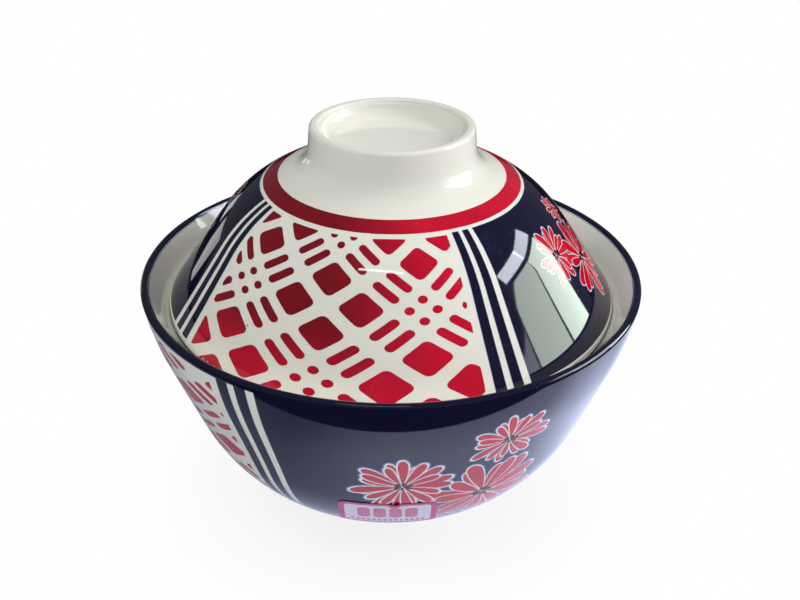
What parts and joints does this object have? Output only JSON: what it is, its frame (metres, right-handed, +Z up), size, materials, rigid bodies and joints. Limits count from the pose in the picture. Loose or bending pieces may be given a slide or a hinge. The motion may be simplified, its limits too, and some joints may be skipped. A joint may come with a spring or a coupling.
{
  "type": "lidded rice bowl",
  "caption": "Deep porcelain bowl on a low foot ring, with a domed lid that nests inside its flared rim and lifts off by a ring grip, and a small paper label on the belly.",
  "frame": {"origin": "centre of the foot ring on the surface the bowl stands on", "axes": "+Z up along the bowl's axis, -Y towards the front that carries the label, +X to its right"},
  "size_m": [0.156, 0.156, 0.1284],
  "materials": {
    "bowl_porcelain": "gloss navy glaze outside, white inside",
    "lid_porcelain": "gloss white glaze with red and navy decoration",
    "label_paper": "coated paper with a pink border"
  },
  "bodies": {
    "bowl": {"bowl": "bowl_porcelain", "price_label": "label_paper"},
    "lid": {"lid": "lid_porcelain"}
  },
  "joints": [
    {"name": "lid_lift", "type": "slide", "parent": "bowl", "child": "lid", "axis": [0, 0, 1], "range_m": [0, 0.1]}
  ]
}
